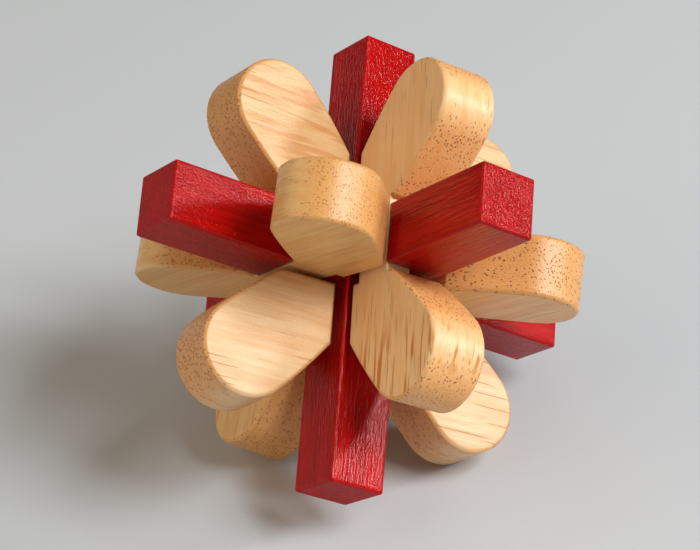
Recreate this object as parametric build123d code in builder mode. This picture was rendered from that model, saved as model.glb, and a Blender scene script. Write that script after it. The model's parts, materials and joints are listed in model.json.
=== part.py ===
"""Wooden burr puzzle: three crossed red bars locked by six natural-wood petal plates.

Puzzle axes, all through one centre: "left", "right" and "up" point along the three bars.
The puzzle stands on three petals, whose plates have rolled alike, so the long diagonal
between those axes is vertical (+Z). The lower end of the upright bar points to the front
(-Y). The origin is on the table, right under the puzzle's centre.
"""
from build123d import *
import math
import os

# ---- driving dimensions, millimetres ----
bar_side = 10.0          # square section of every red bar
bar_reach = 38.0         # centre of the puzzle to each bar's end face
bar_edge = 0.45          # rounding of the bars' long edges and ends

plate_thickness = 10.0   # thickness of the petal plates
petal_centre = 28.3      # puzzle centre to the centre of a petal's round end
petal_round = 7.9        # radius of the round end
petal_shoulder = 16.1    # distance along a bar at which the petal turns away from it
petal_edge = 0.45        # bevel on the plates' edges

side_play = 1.1          # gap between a bar's side and the petals beside it
lap_play = 0.3           # gap between the bars in their cross lap, and at each notch's ends
plate_play = 0.65        # gap between a plate's bridge and the half of the bar it laps over
bridge_inner = 8.0       # the bridge between two petals starts here, from the centre
bridge_outer = 15.0      # and ends here

# The plates are loose: each has rolled a little on its own bar, in degrees.
top_roll = -1.0
bottom_roll = 5.5
right_roll = 1.3
back_left_roll = 5.5
left_roll = -5.0
back_right_roll = 5.5

pin_radius = 2.0         # round pin glued into the key bar
pin_glue = 0.03          # glue gap around the pin's fixed end
pin_slide = 0.08         # running clearance around the pin everywhere else
pin_in_key = 10.0        # length of pin that is glued into the key bar's solid part
pin_in_socket = 9.0      # length of pin that plugs into the socket bar's solid part
pin_tip = 0.5            # chamfer on the pin's leading end
pin_end_room = 1.0       # space left past the pin in each blind hole

# ---- sizes that follow from them ----
half_side = bar_side / 2
half_thickness = plate_thickness / 2
petal_gap = half_side + side_play           # bar axis to the petal's straight inner edges
lap_start = bridge_inner - lap_play         # notch that takes a bridge, along the bar
lap_end = bridge_outer + lap_play
crossing = half_side + lap_play             # half length of the notch where two bars cross
bridge_thickness = half_thickness - plate_play + lap_play / 2
shaft_bore = pin_radius + pin_slide


def rolled(side, outward, roll):
    """A direction across a bar, turned about the bar's outward direction."""
    return side.rotate(Axis((0, 0, 0), outward), roll)


def foot(side, outward, roll, down):
    """The lowest point of the petal between two bar directions, seen from the centre."""
    side = rolled(side, outward, roll)
    face = side.cross(outward)
    sideways = face.dot(down)
    rim = (down - face * sideways).normalized() * petal_round
    corner = face * math.copysign(half_thickness - petal_edge, sideways)
    return (side + outward).normalized() * petal_centre + rim + corner


# The puzzle's own axes, and the three petals that it stands on. Its loose plates let it
# settle off its diagonal by a degree or two, until all three petals touch the table.
left_axis, right_axis, up_axis = Vector(1, 0, 0), Vector(0, 1, 0), Vector(0, 0, 1)
supports = (
    (-left_axis, -up_axis, bottom_roll),
    (-up_axis, -right_axis, back_left_roll),
    (-right_axis, -left_axis, back_right_roll),
)
down = -(left_axis + right_axis + up_axis).normalized()
for step in range(30):
    feet = [foot(side, outward, roll, down) for side, outward, roll in supports]
    normal = (feet[1] - feet[0]).cross(feet[2] - feet[0]).normalized()
    down = normal * math.copysign(1, normal.dot(down))

# Table axes: z is up from the table, and the upright bar's low end points to the front.
table_z = -down
table_y = (up_axis - table_z * up_axis.dot(table_z)).normalized()
table_x = table_y.cross(table_z)


def on_table(axis):
    """One of the puzzle's axes, as a direction over the table."""
    return Vector(axis.dot(table_x), axis.dot(table_y), axis.dot(table_z))


left, right, up = on_table(left_axis), on_table(right_axis), on_table(up_axis)
centre = Vector(0, 0, feet[0].dot(down))


def puzzle_plane(x_dir, z_dir):
    """A plane through the puzzle's centre, for a piece that lies square to the bars."""
    return Plane(origin=centre, x_dir=x_dir, z_dir=z_dir)


def save(piece, name):
    """Label a finished piece and write its STEP file."""
    piece.part.label = name
    export_step(piece.part, f"parts/{name}.step")


def petal_outline():
    """One petal, pointing along +X from the centre: a strip with crowned flanks and a round end."""
    tip = (petal_centre + petal_round, 0)
    corner = (petal_gap * math.sqrt(2), 0)
    shoulder_x = (petal_gap + petal_shoulder) / math.sqrt(2)
    shoulder_y = (petal_shoulder - petal_gap) / math.sqrt(2)
    with BuildSketch() as petal:
        with BuildLine():
            Line(corner, (shoulder_x, shoulder_y))
            TangentArc((petal_centre, petal_round), (shoulder_x, shoulder_y), tangent=(-1, 0))
            ThreePointArc((petal_centre, petal_round), tip, (petal_centre, -petal_round))
            TangentArc((petal_centre, -petal_round), (shoulder_x, -shoulder_y), tangent=(-1, 0))
            Line((shoulder_x, -shoulder_y), corner)
        make_face()
    return petal.sketch


def petal_plate(name, along, outward, roll, pin_groove=False):
    """Two petals at right angles, joined by a half-thick bridge that laps over a bar.

    along is the direction from one petal to the other, outward the bar that stands between
    them. The bridge lies on the back half of the plate, so the bar's half lies in front.
    """
    along = rolled(along, outward, roll)
    across = along.cross(outward)
    plane = puzzle_plane(along, across)
    with BuildPart() as plate:
        with BuildSketch(plane):
            for angle in (45, 135):
                add(petal_outline().rotate(Axis.Z, angle))
        extrude(amount=half_thickness, both=True)
        chamfer(plate.faces().filter_by(Axis(centre, across)).edges(), petal_edge)
        with BuildSketch(plane.offset(-half_thickness)):
            with Locations((0, (bridge_inner + bridge_outer) / 2)):
                Rectangle(2 * (petal_gap + petal_edge), bridge_outer - bridge_inner)
        extrude(amount=bridge_thickness)
        if pin_groove:
            # The key's pin runs along the outward axis, between the two halves of the lap.
            with BuildSketch(Plane(origin=centre, x_dir=along, z_dir=outward)):
                Circle(pin_radius + lap_play)
            extrude(amount=petal_shoulder, mode=Mode.SUBTRACT)
    save(plate, name)
    return plate.part


def lap_notch(plane, start, end):
    """Cut away the half of a bar behind plane's XZ side, from start to end along plane's Z.

    The kept half lies on plane's +X side.
    """
    with BuildSketch(plane.offset(start)) as waste:
        with Locations((lap_play / 2, 0)):
            Rectangle(bar_side, 2 * bar_side, align=(Align.MAX, Align.CENTER))
    extrude(waste.sketch, amount=end - start, mode=Mode.SUBTRACT)


def pin_bore(plane, start, end, radius):
    """Bore a round hole along plane's Z, from start to end."""
    with BuildSketch(plane.offset(start)) as bore:
        Circle(radius)
    extrude(bore.sketch, amount=end - start, mode=Mode.SUBTRACT)


def square_bar(plane, start, end):
    """A square bar along plane's Z, from start to end, with its edges rounded."""
    with BuildSketch(plane.offset(start)) as section:
        Rectangle(bar_side, bar_side)
    bar = extrude(section.sketch, amount=end - start)
    fillet(bar.edges(), bar_edge)


os.makedirs("parts", exist_ok=True)

# ---- upright bar: front end low, back end high; every notch is open towards -right ----
with BuildPart() as upright_bar:
    upright = puzzle_plane(right, up)
    square_bar(upright, -bar_reach, bar_reach)
    for start, end in ((-lap_end, -lap_start), (-crossing, crossing), (lap_start, lap_end)):
        lap_notch(upright, start, end)
    pin_bore(puzzle_plane(up, right), -half_side, half_side, shaft_bore)
save(upright_bar, "upright_bar")

# ---- cross bar: laps under the upright bar at the centre, and over two plates beside it ----
with BuildPart() as cross_bar:
    crosswise = puzzle_plane(up, left)
    square_bar(crosswise, -bar_reach, bar_reach)
    for start, end in ((-lap_end, -lap_start), (lap_start, lap_end)):
        lap_notch(crosswise, start, end)
    lap_notch(puzzle_plane(-right, left), -crossing, crossing)
    pin_bore(puzzle_plane(up, right), -half_side, half_side, shaft_bore)
save(cross_bar, "cross_bar")

# ---- key bar: its lap is open at the inner end, so it pulls straight out ----
with BuildPart() as key_bar:
    keyward = puzzle_plane(-left, right)
    square_bar(keyward, crossing, bar_reach)
    lap_notch(keyward, crossing, lap_end)
    key_hole_end = lap_end + pin_in_key + pin_end_room
    pin_bore(keyward, crossing, key_hole_end, pin_radius + pin_glue)
save(key_bar, "key_bar")

# ---- socket bar: the key bar's opposite half, with the hole that the pin plugs into ----
with BuildPart() as socket_bar:
    socketward = puzzle_plane(-left, -right)
    square_bar(socketward, crossing, bar_reach)
    lap_notch(socketward, crossing, lap_end)
    socket_end = lap_end + pin_in_socket + pin_end_room
    pin_bore(socketward, crossing, socket_end, shaft_bore)
save(socket_bar, "socket_bar")

# ---- key pin: glued into the key bar, it runs through both crossed bars ----
with BuildPart() as key_pin:
    with BuildSketch(puzzle_plane(left, right).offset(-lap_end - pin_in_socket)):
        Circle(pin_radius)
    extrude(amount=2 * lap_end + pin_in_socket + pin_in_key)
    chamfer(key_pin.edges().sort_by(Axis(centre, right))[0], pin_tip)
save(key_pin, "key_pin")

# ---- six petal plates, two on each bar axis ----
petal_plate("top_petal_plate", -left, up, top_roll)
petal_plate("bottom_petal_plate", left, -up, bottom_roll)
petal_plate("right_petal_plate", up, right, right_roll, pin_groove=True)
petal_plate("back_left_petal_plate", -up, -right, back_left_roll, pin_groove=True)
petal_plate("left_petal_plate", -right, left, left_roll)
petal_plate("back_right_petal_plate", right, -left, back_right_roll)
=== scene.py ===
# %% [markdown]
# # A wooden burr puzzle, dressed in Blender
#
# The puzzle is ten sticks and plates of wood that lock round one hidden pin. Three red
# square bars cross at the middle. Six plates of pale wood clip between them, and each
# plate ends in two round petals.
#
# The shapes come from a CAD model, so this lesson is about wood: how a solid grain
# texture follows each piece, how pores turn from dashes into dots where the saw cuts
# across the grain, and how a lacquered bar differs from an oiled plate.

# %% Load the CAD pieces
import json
import math

import bmesh
import bpy
from mathutils import Matrix, Vector


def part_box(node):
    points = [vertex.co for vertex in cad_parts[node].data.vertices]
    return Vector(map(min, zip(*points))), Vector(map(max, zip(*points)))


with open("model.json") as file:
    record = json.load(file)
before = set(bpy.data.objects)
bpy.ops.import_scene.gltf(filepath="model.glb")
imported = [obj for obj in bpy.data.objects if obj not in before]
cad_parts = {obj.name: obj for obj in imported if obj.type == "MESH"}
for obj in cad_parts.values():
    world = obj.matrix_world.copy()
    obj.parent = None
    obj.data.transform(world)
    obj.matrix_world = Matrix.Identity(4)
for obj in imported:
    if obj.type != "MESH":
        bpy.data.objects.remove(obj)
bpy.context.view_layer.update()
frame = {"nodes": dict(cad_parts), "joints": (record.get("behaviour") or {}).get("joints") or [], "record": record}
nodes = frame["nodes"]
print("pieces:", ", ".join(sorted(nodes)))

# %% [markdown]
# ## The puzzle's own axes
#
# The puzzle stands on three petals, so none of its bars is level. Every grain direction
# below is one of the three bar directions. Two of them are in the record: the key bar
# slides along one, and a mount faces along the other. The third is square to both.

# %% Bar directions and the crossing point
mm = 0.001
slides = {joint["name"]: Vector(joint["axis"]) for joint in frame["joints"]}
faces = {mount["name"]: Vector(mount["axis"]) for mount in frame["record"]["mounts"]}
right = slides["key_slide"]
left = faces["cross_bar_left_end"]
up = left.cross(right)

box_low, box_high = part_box("upright_bar")
crossing = (box_low + box_high) / 2
print("the bars cross at", tuple(round(v, 4) for v in crossing))

# %% [markdown]
# ## Shader maths as plain expressions
#
# Node trees get long when every sum and product is a node made by hand. A small class
# wraps a socket, so that `a * 0.5 + b` adds the Math nodes by itself. Any other node
# comes from one method, `node`, that takes the node's type, its settings and its inputs.


# %% The expression class
class Value:
    """One output socket of a shader node, which can be added, multiplied and compared."""

    def __init__(self, finish, socket):
        self.finish = finish
        self.socket = socket

    def maths(self, operation, *others):
        """One Math node, with this value first."""
        inputs = dict(enumerate((self,) + others))
        return self.finish.node("Math", inputs, operation=operation)

    def __add__(self, other):
        return self.maths("ADD", other)

    def __sub__(self, other):
        return self.maths("SUBTRACT", other)

    def __rsub__(self, other):
        return self.finish.node("Math", {0: other, 1: self}, operation="SUBTRACT")

    def __mul__(self, other):
        return self.maths("MULTIPLY", other)

    __radd__ = __add__
    __rmul__ = __mul__

    def __pow__(self, other):
        return self.maths("POWER", other)

    def __abs__(self):
        return self.maths("ABSOLUTE")

    def twin(self, output):
        """Another output of the same node."""
        return Value(self.finish, self.socket.node.outputs[output])

    def ramp(self, low, high):
        """0 below low, 1 above high, smooth between them. low may be the larger one."""
        inputs = {"Value": self, "From Min": low, "From Max": high}
        return self.finish.node("MapRange", inputs, interpolation_type="SMOOTHSTEP")


class Finish:
    """A material under construction: its node tree and its Principled shader."""

    def __init__(self, name):
        self.material = bpy.data.materials.new(name)
        self.material.use_nodes = True
        self.tree = self.material.node_tree
        self.shader = self.tree.nodes["Principled BSDF"]

    def link(self, value, socket):
        """Put a number, a colour or another node's output into a socket."""
        if isinstance(value, Value):
            self.tree.links.new(value.socket, socket)
        else:
            socket.default_value = value

    def node(self, kind, inputs=None, output=0, **settings):
        """Add any shader node. Settings come first, then the values or links of its sockets."""
        made = self.tree.nodes.new("ShaderNode" + kind)
        for key, setting in settings.items():
            setattr(made, key, setting)
        for key, value in (inputs or {}).items():
            self.link(value, made.inputs[key])
        return Value(self, made.outputs[output])

    def mix(self, amount, one, other):
        """Mix two colours, whose sockets on a Mix node are numbers 6 and 7."""
        inputs = {"Factor": amount, 6: one, 7: other}
        return self.node("Mix", inputs, output=2, data_type="RGBA")

    def parts(self, vector):
        """The X, Y and Z numbers of a vector."""
        x = self.node("SeparateXYZ", {"Vector": vector}, "X")
        return x, x.twin("Y"), x.twin("Z")

    def set(self, **sockets):
        """Set the shader's own sockets, written with _ for each space."""
        for name, value in sockets.items():
            self.link(value, self.shader.inputs[name.replace("_", " ")])
        return self.material


print("expression class ready")

# %% [markdown]
# ## Grain space
#
# Wood is a solid material, so its pattern has to run through the piece instead of being
# wrapped on it. A Mapping node of the Texture type turns Object coordinates into grain
# space: X runs along the fibres, and Y and Z across them, in millimetres. Each piece
# also gets its own offset, because no two are cut from the same place in the plank.


# %% Turn Object coordinates into grain space
def grain_space(finish, along, across, shift):
    """Coordinates in millimetres with X along the fibres, moved by shift in the plank."""
    axes = Matrix((along, across, along.cross(across))).transposed()
    place = crossing - axes @ (Vector(shift) * mm)
    inputs = {
        "Vector": finish.node("TexCoord", output="Object"),
        "Location": place,
        "Rotation": axes.to_euler(),
        "Scale": (mm, mm, mm),
    }
    return finish.node("Mapping", inputs, vector_type="TEXTURE")


def stretched(finish, space, scale):
    """The same space with each axis scaled, to draw a texture out along the fibres."""
    return finish.node("VectorMath", {0: space, 1: scale}, operation="MULTIPLY")


def grain(finish, space, scale, detail=3, roughness=0.55):
    """Noise in grain space. scale is how fast it changes along and across the fibres."""
    inputs = {
        "Vector": stretched(finish, space, scale),
        "Scale": 1.0,
        "Detail": detail,
        "Roughness": roughness,
    }
    return finish.node("TexNoise", inputs)


def squareness(finish, along):
    """How squarely the surface cuts the fibres: 0 on a flat face, 1 on a sawn end."""
    facing = finish.node("TexCoord", output="Normal")
    inputs = {0: facing, 1: along}
    return abs(finish.node("VectorMath", inputs, "Value", operation="DOT_PRODUCT"))


# %% [markdown]
# ## Edges that a hand has softened
#
# The CAD pieces have narrow bevels, but sandpaper leaves a round edge. A Bevel node looks
# round the corner and blends the surface directions, so light runs smoothly over the
# edge while the mesh stays as it is.


# %% Round the light over an edge
bevel_samples = 6


def softened(finish, radius):
    """The surface direction, rounded over edges. radius is in millimetres."""
    return finish.node("Bevel", {"Radius": radius * mm}, samples=bevel_samples)


def relief(finish, height, strength, depth, edge):
    """Small bumps over softened edges. depth and the edge's radius are in millimetres."""
    inputs = {
        "Height": height,
        "Strength": strength,
        "Distance": depth * mm,
        "Normal": softened(finish, edge),
    }
    return finish.node("Bump", inputs)


# %% [markdown]
# ## Pale petal wood
#
# The plates are a pale, open-pored hardwood under a thin satin oil. Four things make it
# look like wood and not like beige plastic. Year rings leave faint wide bands. Fibres
# leave narrow streaks and fine dark lines. The vessels are thin tubes along the grain: on
# a flat face they show as short lines, and on a curved end, where the cut crosses them,
# as dark dots. One stretched Voronoi texture in grain space gives both. Last, end grain
# drinks more oil, so a face that cuts the fibres is a deeper orange.


# %% Natural wood finish
def natural_wood(
    name, along, across, shift, tone, warmth, rings, figure, pores, vessel=10, flamed=(-100, -90)
):
    """Open-pored pale hardwood.

    tone and warmth shift the colour; rings, figure and pores are the contrast of the year
    rings, of the brown flames and of the vessels. vessel is the length of the vessels, and
    flamed is where the flames fade in along the fibres from the crossing, in millimetres.
    """
    finish = Finish(name)
    space = grain_space(finish, along, across, shift)

    # Year rings: distance from a pith line below the plate, bent by slow noise.
    wander = grain(finish, space, (0.02, 0.09, 0.09))
    x, y, z = finish.parts(space)
    drift = x * 0.10 + wander * 9.0
    flattening, ring_pitch, ring_contrast = 1.6, 2.2, 1.6
    from_pith = (y * y + (z + drift) ** 2 * flattening) ** 0.5
    bands = ((from_pith * ring_pitch).maths("SINE") * 0.5 + 0.5) ** ring_contrast

    # Fibres: soft streaks about a millimetre wide, fine lines, and tapered brown flames.
    streaks = grain(finish, space, (0.030, 0.75, 0.75), 3)
    fibres = grain(finish, space, (0.050, 3.4, 3.4), 6, 0.75)
    specks = grain(finish, space, (0.35, 3.2, 3.2), 2)
    flames = grain(finish, space, (0.085, 0.95, 0.95), 2, 0.45)

    # Vessels: thin tubes along the fibres, picked from a stretched Voronoi.
    tube_space = stretched(finish, space, (0.4 / vessel, 2.0, 2.0))
    tubes = finish.node("TexVoronoi", {"Vector": tube_space, "Scale": 1.0}, feature="F1")
    clumps = grain(finish, space, (0.05, 0.22, 0.22), 2)

    # The oil fills a pore that lies flat, so it looks thinner than one that is cut across.
    end_grain = squareness(finish, along).ramp(0.10, 0.75)
    girth = finish.parts(tubes.twin("Color"))[0]
    distance = tubes + (0.5 - clumps) * 0.30 + (0.5 - girth) * 0.16
    holes = (distance - end_grain * 0.09).ramp(0.20, 0.13)

    # A warmer plate has less green and blue.
    cream = (0.82 * tone, 0.530 * tone, (0.270 - 0.05 * warmth) * tone, 1)
    honey = (0.75 * tone, (0.390 - 0.03 * warmth) * tone, (0.150 - 0.03 * warmth) * tone, 1)
    amber = (0.74 * tone, 0.330 * tone, 0.090 * tone, 1)
    russet = (0.60, 0.200, 0.032, 1)
    brown = (0.27, 0.070, 0.010, 1)
    colour = finish.mix(bands * rings, cream, honey)
    colour = finish.mix(streaks.ramp(0.45, 0.72) * 0.55, colour, honey)
    colour = finish.mix(end_grain * 0.72, colour, amber)
    flames = flames.ramp(0.505, 0.61) * (x - shift[0]).ramp(*flamed) * (1 - end_grain)
    colour = finish.mix(flames * figure, colour, russet)
    colour = finish.mix(fibres.ramp(0.52, 0.70) * (0.27 + end_grain * 0.07), colour, russet)
    colour = finish.mix(specks.ramp(0.48, 0.68) * end_grain * 0.30, colour, russet)
    colour = finish.mix(holes * (0.45 + end_grain * 0.45) * pores, colour, brown)

    # Under the oil the wood keeps a fine tooth, which breaks up the shine.
    tooth = grain(finish, space, (1.6, 3.6, 3.6), 2)
    height = fibres * 0.30 - holes * 0.9 + tooth * 0.55
    return finish.set(
        Base_Color=colour,
        Roughness=0.28 + fibres * 0.08 + holes * 0.20,
        Normal=relief(finish, height, strength=0.45, depth=0.2, edge=0.6),
        Specular_IOR_Level=0.5,
    )


# %% [markdown]
# ## Red lacquered bars
#
# The bars are stained deep red, then lacquered. Lacquer on raised grain dries into small
# wrinkles, so a lit face sparkles instead of shining evenly. The wrinkles are drawn out
# along the bar on its sides and stand close and round on its sawn ends. The stain soaks
# in unevenly, and that leaves the lighter and darker streaks.


# %% Red wood finish
# A little pink in the shine, for looks: clear lacquer wouldn't tint it.
pink_glint = (1.0, 0.65, 0.63, 1.0)


def red_wood(name, along, across, shift, wrinkle, streaky, lace, end_roughness):
    """Deep red stain under wrinkled lacquer.

    wrinkle is how deep the wrinkles are, streaky how far they are drawn out along the bar,
    and lace how much of the round wrinkles of the ends shows on the sides too. A thirsty
    sawn end is duller than the sides, by end_roughness.
    """
    finish = Finish(name)
    space = grain_space(finish, along, across, shift)

    fibres = grain(finish, space, (0.10, 1.9, 1.9), 4, 0.6)
    broad = grain(finish, space, (0.03, 0.30, 0.30), 2)
    wrinkles = grain(finish, space, (1.2 / streaky, 2.5, 2.5), 2, 0.5)
    beads = grain(finish, space, (2.2, 2.8, 2.8), 2, 0.5)

    deep = (0.33, 0.0010, 0.0015, 1)
    crimson = (0.48, 0.0018, 0.0020, 1)
    bright = (0.62, 0.0045, 0.0040, 1)
    colour = finish.mix(fibres.ramp(0.34, 0.66), deep, crimson)
    colour = finish.mix(broad.ramp(0.40, 0.75) * 0.40, colour, bright)

    sawn = squareness(finish, along).ramp(0.6, 0.9)
    beading = sawn * (1 - lace) + lace
    height = wrinkles * 0.60 + beads * beading * 0.60 + fibres * 0.12
    return finish.set(
        Base_Color=colour,
        Roughness=0.10 + broad * 0.07 + sawn * end_roughness,
        Normal=relief(finish, height, strength=wrinkle, depth=0.3, edge=0.5),
        IOR=1.34,
        Specular_Tint=pink_glint,
    )


# %% Put a finish on a piece
def dress(node, material):
    """Give a CAD piece its finish."""
    mesh = nodes[node].data
    mesh.materials.clear()
    mesh.materials.append(material)
    print(node, "wears", material.name)


# %% [markdown]
# ## One plank position per piece
#
# The grain of a plate runs from one petal to the other, so each petal is cut at a slant.
# Each line below gives a plate's grain direction, the direction across it that points
# away from the crossing, and where in the plank it was cut.

# %% Dress the plates
def dress_plate(node, along, across, roll, **look):
    """Turn the grain with the plate's roll on its bar, in degrees, and give it its finish."""
    along = Matrix.Rotation(math.radians(roll), 3, across) @ along
    name = node.replace("petal_plate", "plate") + "_wood"
    dress(node, natural_wood(name, along, across, **look))


dress_plate(
    "top_petal_plate", left, up, -1.0,
    shift=(11, 3, 41), tone=0.98, warmth=0.4, rings=0.60, figure=0.50, pores=0.85, flamed=(2, 9),
)
dress_plate(
    "bottom_petal_plate", left, -up, 5.5,
    shift=(67, 8, 23), tone=1.01, warmth=0.0, rings=0.40, figure=0.20, pores=0.80,
)
dress_plate(
    "right_petal_plate", up, right, 1.3,
    shift=(131, 1, 17), tone=1.16, warmth=0.1, rings=0.30, figure=1.00, pores=0.85,
    vessel=4, flamed=(-12, -22),
)
dress_plate(
    "back_left_petal_plate", up, -right, 5.5,
    shift=(173, 6, 31), tone=1.06, warmth=1.0, rings=0.50, figure=0.30, pores=0.60,
)
dress_plate(
    "left_petal_plate", right, left, -5.0,
    shift=(229, 4, 12), tone=1.04, warmth=1.0, rings=0.40, figure=0.15, pores=0.60,
)
dress_plate(
    "back_right_petal_plate", right, -left, 5.5,
    shift=(277, 2, 36), tone=1.04, warmth=0.5, rings=0.40, figure=0.20, pores=1.00,
)

# %% Dress the bars and the pin
def dress_bar(node, along, across, **look):
    """Give a bar its lacquer, with the grain along the bar."""
    dress(node, red_wood(node + "_lacquer", along, across, **look))


dress_bar(
    "upright_bar", up, right,
    shift=(5, 31, 9), wrinkle=0.90, streaky=2.6, lace=0.35, end_roughness=0.40,
)
dress_bar(
    "cross_bar", left, up,
    shift=(83, 17, 29), wrinkle=0.62, streaky=1.0, lace=1.00, end_roughness=0.30,
)
dress_bar(
    "key_bar", right, left,
    shift=(149, 22, 13), wrinkle=0.62, streaky=4.0, lace=0.10, end_roughness=0.00,
)
dress_bar(
    "socket_bar", right, up,
    shift=(211, 9, 27), wrinkle=0.55, streaky=2.0, lace=0.30, end_roughness=0.20,
)
pin_look = {"tone": 0.86, "warmth": 0.9, "rings": 0.3, "figure": 0.1, "pores": 0.8}
pin_wood = natural_wood("pin_dowel_wood", right, up, (301, 7, 19), **pin_look)
dress("key_pin", pin_wood)

# %% [markdown]
# ## Table, light and camera
#
# The puzzle stands on a wide, flat sheet of pale grey. One large soft lamp to the right
# gives the bright faces and a soft shadow to the left. A small bright lamp, low on the
# same side, makes the lacquer sparkle. A warm fill from the left keeps the shaded faces
# readable.

# %% The grey sheet
sheet_half_width = 30.0
sheet = bmesh.new()
bmesh.ops.create_grid(sheet, x_segments=1, y_segments=1, size=sheet_half_width)
table = bpy.data.meshes.new("table")
sheet.to_mesh(table)
sheet.free()
table_top = bpy.data.objects.new("table", table)
bpy.context.scene.collection.objects.link(table_top)

paper = Finish("grey_paper")
paper.set(Base_Color=(0.595, 0.62, 0.65, 1), Roughness=0.9)
table.materials.append(paper.material)


# %% Lamps
def lamp(name, place, size, power, colour):
    """A square area lamp at place, metres from the crossing, aimed at the puzzle."""
    data = bpy.data.lights.new(name, "AREA")
    data.size = size
    data.energy = power
    data.color = colour
    made = bpy.data.objects.new(name, data)
    bpy.context.scene.collection.objects.link(made)
    made.location = crossing + Vector(place)
    made.rotation_euler = (-Vector(place)).to_track_quat("-Z", "Y").to_euler()


lamp("key_lamp", (0.99, -0.345, 1.05), 0.63, 18.5, (0.95, 0.985, 1.0))
lamp("glint_lamp", (0.91, 0.09, 0.39), 0.13, 2.7, (1.0, 1.0, 1.0))
lamp("fill_lamp", (-1.10, -0.52, 0.70), 1.8, 9.2, (1.0, 0.87, 0.68))
lamp("top_lamp", (0.1, 0.3, 1.0), 0.8, 0.8, (0.98, 0.99, 1.0))

world = bpy.data.worlds.new("studio")
world.use_nodes = True
glow = world.node_tree.nodes["Background"].inputs
glow["Color"].default_value = (0.88, 0.77, 0.60, 1)
glow["Strength"].default_value = 0.15
bpy.context.scene.world = world
bpy.context.scene.view_settings.view_transform = "Standard"

# %% Camera
camera_data = bpy.data.cameras.new("camera")
camera_data.sensor_width = 36
camera_data.lens = 116.8
camera_data.clip_start = 0.01
camera = bpy.data.objects.new("camera", camera_data)
bpy.context.scene.collection.objects.link(camera)
bpy.context.scene.camera = camera

view_turn = math.radians(11.65)
view_height = math.radians(32.51)
view_distance = 0.365
view_roll = math.radians(-5.68)
view_from = Vector(
    (
        math.sin(view_turn) * math.cos(view_height),
        -math.cos(view_turn) * math.cos(view_height),
        math.sin(view_height),
    )
)
aim = crossing + Vector((-1.09, -1.02, -1.20)) * mm
camera.location = crossing + view_from * view_distance
gaze = (aim - camera.location).to_track_quat("-Z", "Y").to_matrix()
camera.rotation_euler = (gaze @ Matrix.Rotation(view_roll, 3, "Z")).to_euler()
print("camera at", tuple(round(v, 3) for v in camera.location))

# %% The end
print("scene built")
